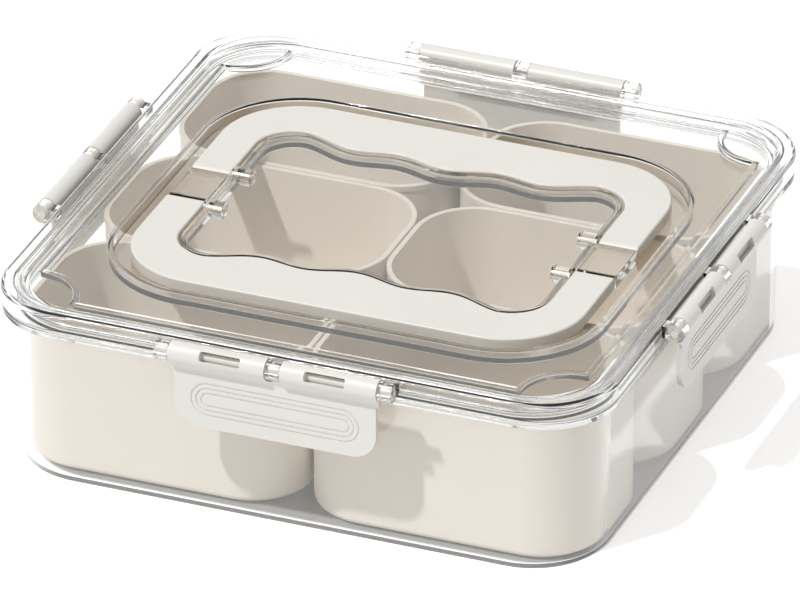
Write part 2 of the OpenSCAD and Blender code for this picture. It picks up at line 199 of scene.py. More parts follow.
def settle(piece):
    """Leaves edit mode and puts the piece's place and turn into its mesh."""
    activate(piece)
    bpy.ops.object.transform_apply(location=True, rotation=True, scale=True)


def named(name):
    """Names the piece that was just added, settles it and returns it."""
    piece = bpy.context.object
    piece.name = name
    piece.data.name = name
    settle(piece)
    return piece


def select_every(kind, action="SELECT"):
    """Turns to vertices, edges or faces and selects or deselects all, in edit mode."""
    bpy.ops.mesh.select_mode(type=kind)
    bpy.ops.mesh.select_all(action=action)


def edit(piece):
    """Goes into edit mode on one piece, with all of it selected."""
    activate(piece)
    bpy.ops.object.mode_set(mode="EDIT")
    select_every("FACE")


def pick(piece, kind, wanted):
    """Selects the vertices, edges or faces that the test wants, in edit mode."""
    select_every(kind, "DESELECT")
    mesh = bmesh.from_edit_mesh(piece.data)
    mesh.verts.index_update()
    parts = {"VERT": mesh.verts, "EDGE": mesh.edges, "FACE": mesh.faces}[kind]
    found = [part for part in parts if wanted(part)]
    if not found:
        raise RuntimeError(piece.name + ": nothing to select")
    for part in found:
        part.select = True
    mesh.select_flush_mode()
    bmesh.update_edit_mesh(piece.data)


def runs_across(edge, axis):
    """True for an edge whose two ends are level along an axis."""
    return abs(edge.verts[0].co[axis] - edge.verts[1].co[axis]) < TINY


def modify(piece, kind, **settings):
    """Adds a modifier with its settings and applies it."""
    activate(piece)
    modifier = piece.modifiers.new(kind.title(), kind)
    for name, value in settings.items():
        setattr(modifier, name, value)
    bpy.ops.object.modifier_apply(modifier=modifier.name)


def combine(piece, tool, operation):
    """Adds the tool to the piece or cuts it away, and removes the tool."""
    modify(piece, "BOOLEAN", operation=operation, solver="EXACT", object=tool)
    bpy.data.objects.remove(tool)


def gather(pieces):
    """Joins separate pieces into the first one."""
    activate(pieces[0])
    for piece in pieces[1:]:
        piece.select_set(True)
    bpy.ops.object.join()
    return pieces[0]


def copied(piece, name, matrix):
    """Copy of a piece with its own mesh, put in its place by a matrix."""
    activate(piece)
    bpy.ops.object.duplicate()
    twin = bpy.context.object
    twin.matrix_world = matrix
    return named(name)


def round_edges(piece, width, steps=3, degrees=35):
    """Small rounding of every edge that is sharper than an angle."""
    modify(piece, "BEVEL", width=width, segments=steps, limit_method="ANGLE",
           angle_limit=math.radians(degrees), use_clamp_overlap=True)


def round_picked(radius, steps=6, affect="EDGES"):
    """Rounds the selected edges, or the outline at the selected vertices, in edit mode."""
    bpy.ops.mesh.bevel(offset=radius, offset_type="OFFSET", segments=steps, profile=0.5,
                       affect=affect)


def thicken(piece, thickness):
    """Gives a sheet its thickness, away from the side that its faces look to."""
    modify(piece, "SOLIDIFY", thickness=thickness, offset=-1, use_even_offset=True,
           use_quality_normals=True)


def weld(piece, distance=0.00002):
    """Merges points that lie on each other and flattens what they leave."""
    edit(piece)
    bpy.ops.mesh.remove_doubles(threshold=distance)
    bpy.ops.mesh.dissolve_degenerate(threshold=distance)
    settle(piece)


def smooth(piece, degrees=35):
    """Smooth shading, with the flats kept flat up to their rounded edges."""
    activate(piece)
    bpy.ops.object.shade_smooth_by_angle(angle=math.radians(degrees))
    modify(piece, "WEIGHTED_NORMAL", keep_sharp=True, weight=90)


def paint(piece, material):
    """Gives a piece its one material, by the material's name."""
    piece.data.materials.clear()
    piece.data.materials.append(bpy.data.materials[material])


def dress(piece, material, body, nodes):
    """Gives a finished piece its material and body, and hides the nodes that it stands for."""
    paint(piece, material)
    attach(piece, body)
    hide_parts(*nodes)


# Outlines

def arc(x, y, radius, start, end, steps):
    """Points of an arc, angles in degrees."""
    points = []
    for step in range(steps + 1):
        angle = math.radians(start + (end - start) * step / steps)
        points.append(Vector((x, y)) + radius * Vector((math.cos(angle), math.sin(angle))))
    return points


def round_square(half_x, half_y, radius, steps):
    """Rounded rectangle round the middle, anticlockwise."""
    points = []
    for turn, (sx, sy) in enumerate(CORNERS):
        points += arc(sx * (half_x - radius), sy * (half_y - radius), radius,
                      90 * turn, 90 * turn + 90, steps)
    return points


def bitten_square(half, bite, steps):
    """Square with a round bite at each corner, anticlockwise."""
    points = []
    for turn, (sx, sy) in enumerate(CORNERS):
        points += arc(sx * half, sy * half, bite, 270 + 90 * turn, 180 + 90 * turn, steps)
    return points


def grip_y(sizes, x):
    """Distance of the wavy grip edge from the middle, at x."""
    arm_in = sizes.handle_half - sizes.arm_w
    return (sizes.grip_reach + sizes.grip_bow * (x / arm_in) ** 2
            - sizes.grip_wave * math.cos(2 * math.pi * x / sizes.grip_pitch))


def wave(sizes, side, inset):
    """Wavy grip edge from right to left at the back, or left to right in front."""
    end = sizes.handle_half - sizes.arm_w - sizes.grip_corner
    steps = 4 * sizes.corner_steps
    places = [side * end * (1 - 2 * step / steps) for step in range(1, steps)]
    return [Vector((x, side * (grip_y(sizes, x) - inset))) for x in places]


def grip_corners(sizes):
    """Middle of the right back corner of the hole in the handles."""
    x = sizes.handle_half - sizes.arm_w - sizes.grip_corner
    return x, grip_y(sizes, x) - sizes.grip_corner


def island_outline(sizes):
    """Outline of the lid's island, inside both handles."""
    x, y = grip_corners(sizes)
    radius = sizes.grip_corner - sizes.island_gap
    points = []
    for turn, (sx, sy) in enumerate(CORNERS):
        points += arc(sx * x, sy * y, radius, 90 * turn, 90 * turn + 90, sizes.corner_steps)
        if sx == sy:
            points += wave(sizes, sy, sizes.island_gap)
    return points


def handle_outline(sizes):
    """Outline of the front handle, up to the round ends of its arms."""
    steps = sizes.corner_steps
    end = -sizes.pivot_y + sizes.handle_t / 2
    x = sizes.handle_half - sizes.handle_corner
    y = sizes.handle_corner - sizes.handle_reach
    grip_x, grip_corner_y = grip_corners(sizes)
    points = [Vector((-sizes.handle_half, end))]
    points += arc(-x, y, sizes.handle_corner, 180, 270, steps)
    points += arc(x, y, sizes.handle_corner, 270, 360, steps)
    points += [Vector((sizes.handle_half, end)),
               Vector((sizes.handle_half - sizes.arm_w, end))]
    points += arc(grip_x, -grip_corner_y, sizes.grip_corner, 360, 270, steps)
    points += reversed(wave(sizes, -1, 0))
    points += arc(-grip_x, -grip_corner_y, sizes.grip_corner, 270, 180, steps)
    points += [Vector((sizes.arm_w - sizes.handle_half, end))]
    return points


def level(points, z):
    """Flat points as an outline at a height."""
    return [Vector((p.x, p.y, z)) for p in points]


def upright_x(points):
    """Flat points as an outline that faces along x, with p.x along y."""
    return [Vector((0, p.x, p.y)) for p in points]


def upright_y(points, y):
    """Flat points as an outline that faces along y, with p.x along x."""
    return [Vector((p.x, y, p.y)) for p in points]


# Solids

def place_points(piece, start, points):
    """Moves the vertices from start onwards to their points, in edit mode."""
    mesh = bmesh.from_edit_mesh(piece.data)
    mesh.verts.ensure_lookup_table()
    for step, point in enumerate(points):
        mesh.verts[start + step].co = point
    mesh.normal_update()
    bmesh.update_edit_mesh(piece.data)


def drawn(name, points, fill):
    """New piece from a closed outline, in edit mode."""
    ready()
    bpy.ops.mesh.primitive_circle_add(vertices=len(points), radius=1, fill_type=fill)
    piece = named(name)
    edit(piece)
    place_points(piece, 0, points)
    return piece


def thick_outline(name, points, thickness):
    """Solid from a flat outline, thickened evenly to both sides."""
    piece = drawn(name, points, "NGON")
    settle(piece)
    modify(piece, "SOLIDIFY", thickness=thickness, offset=0)
    return piece


def slab(name, points, low, high):
    """Solid from a flat outline, from one height to another."""
    return thick_outline(name, level(points, (low + high) / 2), high - low)


def rod(name, radius, size, place, steps=48):
    """Round rod along x."""
    ready()
    bpy.ops.mesh.primitive_cylinder_add(vertices=steps, radius=radius, depth=size,
                                        location=place, rotation=(0, math.pi / 2, 0))
    return named(name)


def bore(radius, size, place):
    """Cutter for a pin hole along x."""
    return rod("bore", radius, size, place, steps=32)


def square_ring(name, half, corner, thickness, low, high, steps):
    """Upright wall that runs round a square with round corners."""
    ring = slab(name, round_square(half, half, corner, steps), low, high)
    inner = half - thickness
    hole = slab(name + "_hole", round_square(inner, inner, corner - thickness, steps),
                low - PAST, high + PAST)
    combine(ring, hole, "DIFFERENCE")
    return ring


def block(name, size, place, turn=0.0):
    """Straight block, turned about x."""
    ready()
    bpy.ops.mesh.primitive_cube_add(size=1, location=place, scale=size,
                                    rotation=(turn, 0, 0))
    return named(name)


def tub(name, half_x, half_y, radius, height, lean, foot, wall, loops, steps):
    """Open tub that stands on the floor, with loops at given drops below its rim."""
    ready()
    bpy.ops.mesh.primitive_plane_add(size=2, location=(0, 0, height))
    piece = named(name)
    edit(piece)
    bpy.ops.transform.resize(value=(half_x, half_y, 1))
    round_picked(radius, steps, "VERTICES")
    select_every("FACE")
    bpy.ops.mesh.flip_normals()
    done = 0
    for drop in loops + (height,):
        bpy.ops.mesh.inset(thickness=lean * (drop - done), depth=drop - done,
                           use_boundary=True, use_even_offset=True)
        done = drop
    pick(piece, "EDGE", lambda e: all(v.co.z < TINY for v in e.verts))
    round_picked(foot)
    settle(piece)
    thicken(piece, wall)
    return piece


def push_out(piece, low, high, reach):
    """Draws a collar out of a tub's outer skin, between two heights."""
    def wanted(face):
        place = face.calc_center_median()
        upright = abs(face.normal.z) < 0.5
        outwards = face.normal.xy.dot(place.xy) > 0
        return upright and outwards and low < place.z < high
    edit(piece)
    pick(piece, "FACE", wanted)
    bpy.ops.mesh.extrude_region_shrink_fatten(
        TRANSFORM_OT_shrink_fatten={"value": reach, "use_even_offset": True})


# Materials

def node_at(tree, kind, x, y):
    """New shader node at a place in the node editor."""
    node = tree.nodes.new(kind)
    node.location = (x, y)
    return node


def wire(tree, source, output, target, socket):
    """Links an output of one node to a socket of another."""
    tree.links.new(source.outputs[output], target.inputs[socket])


def moulded_grain():
    """Group for moulded plastic: a slow change of tone and a faint surface texture."""
    group = bpy.data.node_groups.get("Moulded grain")
    if group:
        return group
    group = bpy.data.node_groups.new("Moulded grain", "ShaderNodeTree")
    start = node_at(group, "NodeGroupInput", -600, 0)
    end = node_at(group, "NodeGroupOutput", 300, 0)
    place = node_at(group, "ShaderNodeTexCoord", -600, -200)
    for row, (name, detail) in enumerate((("Cloud", 3.0), ("Grain", 2.0))):
        for socket, side in ((name + " scale", "INPUT"), (name, "OUTPUT")):
            group.interface.new_socket(socket, in_out=side, socket_type="NodeSocketFloat")
        noise = node_at(group, "ShaderNodeTexNoise", -200, -250 * row)
        noise.inputs["Detail"].default_value = detail
        wire(group, place, "Object", noise, "Vector")
        wire(group, start, name + " scale", noise, "Scale")
        wire(group, noise, "Fac", end, name)
    return group


def empty_material(name):
    """Tree and output of a new material that has no other nodes."""
    material = bpy.data.materials.new(name)
    material.use_nodes = True
    tree = material.node_tree
    tree.nodes.clear()
    return tree, node_at(tree, "ShaderNodeOutputMaterial", 900, 0)


def reckoned(tree, operation, first, second, x, y):
    """Result of a calculation on a socket and a second socket or a plain number."""
    node = node_at(tree, "ShaderNodeMath", x, y)
    node.operation = operation
    tree.links.new(first, node.inputs[0])
    if isinstance(second, float):
        node.inputs[1].default_value = second
    else:
        tree.links.new(second, node.inputs[1])
    return node.outputs[0]


def blended(tree, first, second, share, x, y):
    """Colour between two plain colours, by a share from 0 to 1."""
    blend = node_at(tree, "ShaderNodeMix", x, y)
    blend.data_type = "RGBA"
    blend.inputs["A"].default_value = first
    blend.inputs["B"].default_value = second
    tree.links.new(share, blend.inputs["Factor"])
    return blend.outputs["Result"]


def ranged(tree, noise, low, high, y):
    """Maps the middle part of a noise onto a range of values."""
    remap = node_at(tree, "ShaderNodeMapRange", -300, y)
    for name, value in (("From Min", 0.3), ("From Max", 0.7), ("To Min", low), ("To Max", high)):
        remap.inputs[name].default_value = value
    tree.links.new(noise, remap.inputs["Value"])
    return remap.outputs["Result"]


def moulded_shader(tree, tint, darker, rough, scales, relief, strength, height):
    """Shader of moulded plastic, with a slow change of tone and gloss and a fine relief."""
    grain = node_at(tree, "ShaderNodeGroup", -700, 0)
    grain.node_tree = moulded_grain()
    for name, scale in zip(("Cloud scale", "Grain scale"), scales):
        grain.inputs[name].default_value = scale
    cloud = grain.outputs["Cloud"]
    tone = blended(tree, [part * darker for part in tint[:3]] + [1], tint,
                   ranged(tree, cloud, 0, 1, 250), 0, 200)
    gloss = ranged(tree, cloud, *rough, 0)
    bump = node_at(tree, "ShaderNodeBump", 0, -250)
    bump.inputs["Strength"].default_value = strength
    bump.inputs["Distance"].default_value = height
    wire(tree, grain, relief, bump, "Height")
    shader = node_at(tree, "ShaderNodeBsdfPrincipled", 300, 0)
    tree.links.new(tone, shader.inputs["Base Color"])
    tree.links.new(gloss, shader.inputs["Roughness"])
    wire(tree, bump, "Normal", shader, "Normal")
    return shader


def off_white(name, tint, darker=0.965):
    """Satin off-white moulded plastic."""
    tree, out = empty_material(name)
    shader = moulded_shader(tree, tint, darker, rough=(0.34, 0.44), scales=(22, 1400),
                            relief="Grain", strength=0.25, height=0.00002)
    wire(tree, shader, "BSDF", out, "Surface")


def clear_plastic(name, tint, bounced, rough=(0.01, 0.03), passes=0.985):
    """Clear moulded plastic that lets lamp light and bounced light through."""
    tree, out = empty_material(name)
    shader = moulded_shader(tree, tint, 0.985, rough, scales=(14, 260),
                            relief="Cloud", strength=0.15, height=0.00005)
    shader.inputs["Transmission Weight"].default_value = 1.0
    shader.inputs["IOR"].default_value = 1.5
    rays = node_at(tree, "ShaderNodeLightPath", -300, 600)
    shadow, bounce = rays.outputs["Is Shadow Ray"], rays.outputs["Is Diffuse Ray"]
    film = node_at(tree, "ShaderNodeBsdfTransparent", 300, -450)
    # The film's colour for bounced light can be darker than for lamp light, which paints shade
    # behind the plastic
    tree.links.new(blended(tree, (passes, passes, passes, 1), bounced, bounce, 0, -450),
                   film.inputs["Color"])
    mix = node_at(tree, "ShaderNodeMixShader", 650, 0)
    tree.links.new(reckoned(tree, "MAXIMUM", shadow, bounce, 300, 500), mix.inputs["Fac"])
    wire(tree, shader, "BSDF", mix, 1)
    wire(tree, film, "BSDF", mix, 2)
    wire(tree, mix, "Shader", out, "Surface")


def seen_rays(tree, y):
    """1 for rays from the camera, from gloss and through clear plastic, and 0 otherwise."""
    rays = node_at(tree, "ShaderNodeLightPath", -600, y)
    total = rays.outputs["Is Camera Ray"]
    for step, name in enumerate(("Is Glossy Ray", "Is Transmission Ray")):
        total = reckoned(tree, "MAXIMUM", total, rays.outputs[name], 200 * step - 400, y)
    return total


def outside_square(tree, half, corner, shift):
    """0 over a round-cornered square on the floor, shifted in x and y, and 1 outside it; it
    places the floor's painted shade.
    """
    blur = 0.0015
    inner = half - corner
    x, y = -1100, -700
    vector = node_at(tree, "ShaderNodeTexCoord", x, y).outputs["Object"]
    for work, values in (("SUBTRACT", (shift, shift, 0)), ("ABSOLUTE", None),
                         ("SUBTRACT", (inner, inner, 0)), ("MAXIMUM", (0, 0, 0)),
                         ("LENGTH", None)):
        x += 200
        node = node_at(tree, "ShaderNodeVectorMath", x, y)
        node.operation = work
        tree.links.new(vector, node.inputs[0])
        if values:
            node.inputs[1].default_value = values
        vector = node.outputs[0]
    ramp = node_at(tree, "ShaderNodeMapRange", x + 200, y)
    ramp.inputs["From Min"].default_value = corner - blur
    ramp.inputs["From Max"].default_value = corner
    wire(tree, node, "Value", ramp, "Value")
    return ramp.outputs["Result"]


def floor_paint(tint, shade, glow, half, corner, shift):
    """Pale floor with painted shade where the box covers it: a darker colour there, and a glow
    seen only round the box.
    """
    tree, out = empty_material("Floor paint")
    shader = node_at(tree, "ShaderNodeBsdfPrincipled", 500, 0)
    for name, value in (("Roughness", 0.9), ("Specular IOR Level", 0.0),
                        ("Emission Color", WHITE)):
        shader.inputs[name].default_value = value
    outside = outside_square(tree, half, corner, shift)
    # Painted shade: the floor takes the shade colour under the box, and its glow is left out
    # there
    tree.links.new(blended(tree, shade, tint, outside, 200, 200), shader.inputs["Base Color"])
    seen = reckoned(tree, "MULTIPLY", seen_rays(tree, -300), glow, 100, -300)
    tree.links.new(reckoned(tree, "MULTIPLY", seen, outside, 300, -300),
                   shader.inputs["Emission Strength"])
    wire(tree, shader, "BSDF", out, "Surface")


# Box

def widen_corners(piece, sizes):
    """Fills out the flange's corners to their own radius, about the square's corners."""
    half = sizes.box_half + sizes.flange_reach
    bend = sizes.box_half - sizes.box_corner - TINY
    scale = sizes.flange_corner / (sizes.box_corner + sizes.flange_reach)
    for sx, sy in CORNERS:
        pick(piece, "VERT", lambda v: sx * v.co.x > bend and sy * v.co.y > bend
             and (v.co.xy - Vector((sx, sy)) * bend).length
             > sizes.box_corner + sizes.flange_reach / 2)
        bpy.ops.transform.resize(value=(scale, scale, 1),
                                 center_override=(sx * half, sy * half, 0))


class CADDY_OT_box(bpy.types.Operator):
    """Models the clear outer box with its rim flange"""
    bl_idname = "caddy.box"
    bl_label = "Clear box"

    def execute(self, context):
        sizes = context.scene.caddy_sizes
        high = sizes.box_height - sizes.rim_up
        low = high - sizes.flange_t
        box = tub("outer_box", sizes.box_half, sizes.box_half, sizes.box_corner,
                  sizes.box_height, sizes.box_lean, sizes.box_foot, sizes.wall,
                  (sizes.rim_up, sizes.rim_up + sizes.flange_t), sizes.corner_steps)
        push_out(box, low, high, sizes.flange_reach)
        widen_corners(box, sizes)
        round_edges(box, sizes.edge_round)
        smooth(box)
        dress(box, "Clear box plastic", "base", ["base_box"])
        return {"FINISHED"}


# Cups

def cup_mesh(name, sizes):
    """One cup, built round the middle and then moved to where its CAD node stands."""
    low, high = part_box(name)
    height = high.z - low.z
    cup = tub(name + "_body", (high.x - low.x) / 2 - sizes.lip_reach,
              (high.y - low.y) / 2 - sizes.lip_reach, sizes.cup_corner - sizes.lip_reach,
              height, sizes.cup_lean, sizes.cup_foot, sizes.cup_wall,
              (sizes.lip_height,), sizes.corner_steps)
    push_out(cup, height - sizes.lip_height, height, sizes.lip_reach)
    round_edges(cup, sizes.edge_round)
    activate(cup)
    cup.location = ((low.x + high.x) / 2, (low.y + high.y) / 2, low.z)
    settle(cup)
    smooth(cup)
    return cup


class CADDY_OT_cups(bpy.types.Operator):
    """Models one cup and copies it to the six places"""
    bl_idname = "caddy.cups"
    bl_label = "Cups"

    def execute(self, context):
        sizes = context.scene.caddy_sizes
        first = cup_mesh(CUPS[0], sizes)
        start = sum(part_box(CUPS[0]), Vector()) / 2
        for name in CUPS[1:]:
            place = sum(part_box(name), Vector()) / 2
            twin = copied(first, name + "_body", Matrix.Translation(place - start))
            dress(twin, "Cup plastic", name, [name])
        dress(first, "Cup plastic", CUPS[0], [CUPS[0]])
        return {"FINISHED"}


# Lid

def select_outlines(piece, *outlines):
    """Selects the edges of outlines by their vertices' numbers."""
    pick(piece, "EDGE", lambda e: any(all(v.index in outline for v in e.verts)
                                      for outline in outlines))


def draw_wall(piece, outline, height):
    """Draws the last outline up or down to a wall; gives the new end's vertices."""
    select_outlines(piece, outline)
    bpy.ops.mesh.extrude_region_move(TRANSFORM_OT_translate={"value": (0, 0, height)})
    return range(outline.stop, outline.stop + len(outline))


def add_wall(piece, points, z, height):
    """Adds an outline and draws it to a wall; gives both ends' vertices."""
    start = len(bmesh.from_edit_mesh(piece.data).verts)
    bpy.ops.mesh.select_all(action="DESELECT")
    bpy.ops.mesh.primitive_circle_add(vertices=len(points), radius=1, fill_type="NOTHING")
    place_points(piece, start, level(points, z))
    first = range(start, start + len(points))
    return first, draw_wall(piece, first, height)


def fill_between(piece, *outlines):
    """Fills the flat between outlines at one height."""
    select_outlines(piece, *outlines)
    bpy.ops.mesh.fill(use_beauty=True)


def lid_shell(sizes):
    """The lid's moulded sheet: rim, band, ledge, panel, trough and island."""
    steps = sizes.corner_steps
    top, floor = sizes.lid_top, sizes.trough_floor
    panel = top - sizes.panel_drop
    ledge = top - sizes.ledge_drop
    band_half = sizes.lid_half - sizes.band
    outer = round_square(sizes.lid_half, sizes.lid_half, sizes.lid_corner, steps)
    lid = drawn("lid_shell", level(outer, sizes.skirt_low), "NOTHING")
    edge = draw_wall(lid, range(len(outer)), top - sizes.skirt_low)
    band, step = add_wall(lid, round_square(band_half, band_half,
                                            sizes.lid_corner - sizes.band, steps),
                          top, -sizes.ledge_drop)
    brink, foot = add_wall(lid, bitten_square(sizes.panel_half, sizes.bite, steps),
                           ledge, panel - ledge)
    trough = round_square(sizes.handle_half + sizes.trough_w,
                          sizes.handle_reach + sizes.trough_w,
                          sizes.handle_corner + sizes.trough_w, steps)
    trough_top, trough_foot = add_wall(lid, trough, panel, floor - panel)
    island_foot, island_top = add_wall(lid, island_outline(sizes), floor, panel - floor)
    fill_between(lid, edge, band)
    fill_between(lid, step, brink)
    fill_between(lid, foot, trough_top)
    fill_between(lid, trough_foot, island_foot)
    fill_between(lid, island_top)
    select_every("FACE")
    bpy.ops.mesh.dissolve_limited(angle_limit=math.radians(0.1))
    face_up(lid, panel)
    pick(lid, "EDGE", lambda e: all(abs(v.co.z - top) < TINY for v in e.verts)
         and any(v.co.z < sizes.skirt_low + TINY for f in e.link_faces for v in f.verts))
    round_picked(sizes.rim_round)
    settle(lid)
    thicken(lid, sizes.shell)
    round_edges(lid, sizes.lid_round)
    return lid


def face_up(piece, z):
    """Makes the sheet's faces agree, with the ones at a height looking up."""
    select_every("FACE")
    bpy.ops.mesh.normals_make_consistent(inside=False)
    mesh = bmesh.from_edit_mesh(piece.data)
    flats = [f for f in mesh.faces if abs(f.calc_center_median().z - z) < TINY]
    if sum(f.normal.z * f.calc_area() for f in flats) < 0:
        bpy.ops.mesh.flip_normals()


def plug_wall(sizes):
    """Upright ring under the lid that goes into the box."""
    top = sizes.lid_top - sizes.ledge_drop - sizes.shell / 2
    ring = square_ring("plug_wall", sizes.plug_half, sizes.plug_corner, sizes.plug_t,
                       sizes.plug_low, top, sizes.corner_steps)
    round_edges(ring, sizes.edge_round)
    return ring


def rest_blocks(sizes):
    """Clear blocks on the trough's floor, between the arm ends."""
    half_y = sizes.pivot_y - sizes.handle_t / 2 - 2 * sizes.play
    corner, steps = 0.001, 6
    outline = round_square(sizes.arm_w / 2, half_y, corner, steps)
    rests = []
    for side in (-1, 1):
        centre = Vector((side * (sizes.handle_half - sizes.arm_w / 2), 0))
        rest = slab("rest", [centre + point for point in outline],
                    sizes.trough_floor - sizes.shell / 2, sizes.lid_top - sizes.panel_drop)
        round_edges(rest, sizes.edge_round, steps=2, degrees=50)
        rests.append(rest)
    return rests


def hinge_piece(name, profile, width, sizes):
    """Solid along x from a profile round the front hinge, as (y, z) from the hinge."""
    hinge = Vector((-sizes.hinge_half, sizes.hinge_z))
    return thick_outline(name, upright_x([hinge + point for point in profile]), width)


def hinge_bore(radius, size, sizes):
    """Cutter for the hole of the front hinge's pin."""
    return bore(radius, size, (0, -sizes.hinge_half, sizes.hinge_z))


def latch_knuckle(sizes):
    """Knuckle in the middle of the front side, with its root in the lid's edge and its bore."""
    deep = sizes.hinge_half - sizes.lid_half + sizes.shell / 2
    low = sizes.hinge_z - sizes.lid_top
    high = -low - sizes.play
    start = math.degrees(math.asin(high / sizes.knuckle))
    end = 360 + math.degrees(math.asin(low / sizes.knuckle))
    steps = 36
    profile = arc(0, 0, sizes.knuckle, start, end, steps)
    profile += [Vector((deep, low)), Vector((deep, high))]
    knuckle = hinge_piece("latch_knuckle", profile, sizes.knuckle_w, sizes)
    round_edges(knuckle, sizes.edge_round, steps=2, degrees=60)
    combine(knuckle, hinge_bore(sizes.lid_bore, 2 * sizes.knuckle_w, sizes), "DIFFERENCE")
    return knuckle


def latch_knuckles(sizes):
    """The twelve latch knuckles, three on each side."""
    first = latch_knuckle(sizes)
    apart = sizes.knuckle_w + 2 * sizes.play + sizes.barrel_len
    knuckles = []
    for turn in range(4):
        for place in (-apart, 0, apart):
            matrix = (Matrix.Rotation(math.pi / 2 * turn, 4, "Z")
                      @ Matrix.Translation((place, 0, 0)))
            knuckles.append(copied(first, "knuckle_copy", matrix))
    bpy.data.objects.remove(first)
    return knuckles


def add_pivots(lid, sizes):
    """Joins the four handle knuckles to the lid and bores them."""
    x = sizes.handle_half - sizes.arm_w - sizes.play - sizes.handle_knuckle_w / 2
    z = sizes.handle_low + sizes.handle_t / 2
    knuckles = []
    bores = []
    for sx, sy in CORNERS:
        place = Vector((sx * x, sy * sizes.pivot_y, z))
        knuckle = rod("handle_knuckle", sizes.handle_knuckle, sizes.handle_knuckle_w, place)
        round_edges(knuckle, sizes.edge_round, steps=2, degrees=50)
        knuckles.append(knuckle)
        bores.append(bore(sizes.handle_bore, sizes.handle_knuckle_w + JUST_PAST, place))
    combine(lid, gather(knuckles), "UNION")
    combine(lid, gather(bores), "DIFFERENCE")


class CADDY_OT_lid(bpy.types.Operator):
    """Models the clear lid with its knuckles, and the soft ring under it"""
    bl_idname = "caddy.lid"
    bl_label = "Clear lid"

    def execute(self, context):
        sizes = context.scene.caddy_sizes
        lid = lid_shell(sizes)
        add_pivots(lid, sizes)
        extras = latch_knuckles(sizes) + rest_blocks(sizes) + [plug_wall(sizes)]
        combine(lid, gather(extras), "UNION")
        weld(lid)
        smooth(lid)
        dress(lid, "Clear lid plastic", "lid", ["lid"])
        self.add_seal(sizes)
        return {"FINISHED"}

    def add_seal(self, sizes):
        """Soft ring in the groove between the lid's plug and skirt."""
        low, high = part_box("seal_ring")
        top = sizes.lid_top - sizes.ledge_drop - sizes.shell - TINY
        width = high.x - sizes.plug_half - sizes.play
        ring = square_ring("seal", high.x, sizes.box_corner + sizes.play, width, low.z, top,
                           sizes.corner_steps)
        round_edges(ring, width / 3, steps=4)
        smooth(ring)
        dress(ring, "Soft clear seal", "lid", ["seal_ring"])


# Latches

def barrel_profile(sizes):
    """Barrel with the hollow that leads down into the flap, as (y, z) from the hinge."""
    reach = sizes.flap_front + sizes.cove
    down = math.sqrt((sizes.barrel + sizes.cove) ** 2 - reach ** 2)
    lean = math.degrees(math.atan2(down, reach))
    set_back = 0.0005
    inside = sizes.flap_t - sizes.flap_front - set_back
    turn = math.degrees(math.asin(inside / sizes.barrel))
    cove_steps, barrel_steps = 10, 44
    points = arc(-reach, -down, sizes.cove, 0, lean, cove_steps)
    points += arc(0, 0, sizes.barrel, 180 + lean, -90 + turn, barrel_steps)[1:]
    points.append(Vector((inside, -down)))
    return points


def flap_profile(sizes, z):
    """Flap's outline with round lower corners, as (x, z), up to height z."""
    half, radius, steps = sizes.flap_w / 2, sizes.flap_corner, 12
    low = sizes.hinge_z - sizes.flap_drop
    points = [Vector((half, z)), Vector((-half, z))]
    for side, start in ((-1, 180), (1, 270)):
        points += arc(side * (half - radius), low + radius, radius, start, start + 90, steps)
    return points


def hook_profile(sizes):
    """Bead inside the flap, as (y, z)."""
    root_height, nose_height = 0.0034, 0.0012
    face = -sizes.hinge_half - sizes.flap_front + sizes.flap_t
    nose = -sizes.box_half - sizes.flange_reach - sizes.play
    top = sizes.hook_top
    inside = face - sizes.flap_t / 2
    return [Vector((inside, top)), Vector((inside, top - root_height)),
            Vector((face, top - root_height)), Vector((nose, top - nose_height)),
            Vector((nose, top))]


def oval(sizes, inset):
    """Long oval on the flap, drawn in by an inset, as (x, z)."""
    radius = sizes.oval_h / 2 - inset
    half = (sizes.oval_w - sizes.oval_h) / 2
    z = sizes.hinge_z - sizes.oval_drop
    steps = 20
    return (arc(half, z, radius, -90, 90, steps)
            + arc(-half, z, radius, 90, 270, steps))


def groove_cutters(sizes):
    """Three oval rings that cut the fine grooves in the flap's face."""
    face = -sizes.hinge_half - sizes.flap_front
    rings = []
    for row in range(3):
        inset = row * sizes.groove_pitch
        ring = thick_outline("groove", upright_y(oval(sizes, inset), face),
                             2 * sizes.groove_deep)
        core = thick_outline("groove_core", upright_y(oval(sizes, inset + sizes.groove_w), face),
                             4 * sizes.groove_deep)
        combine(ring, core, "DIFFERENCE")
        rings.append(ring)
    return gather(rings)


def window_cutters(sizes):
    """Two blocks that cut the windows in the barrels, aimed a little upwards."""
    turn, corner = -math.radians(29), 0.0008
    reach = sizes.barrel + JUST_PAST
    out = Vector((0, -math.cos(turn), -math.sin(turn))) * reach / 2
    cutters = []
    for side in (-1, 1):
        place = Vector((side * sizes.window_x, -sizes.hinge_half, sizes.hinge_z)) + out
        cutter = block("window", (sizes.window_w, reach, sizes.window_h), place, turn)
        edit(cutter)
        pick(cutter, "EDGE", lambda e: runs_across(e, 0)
             and (e.verts[0].co - e.verts[1].co).length > sizes.window_h + TINY)
        round_picked(corner, 4)
        settle(cutter)
        cutters.append(cutter)
    return gather(cutters)


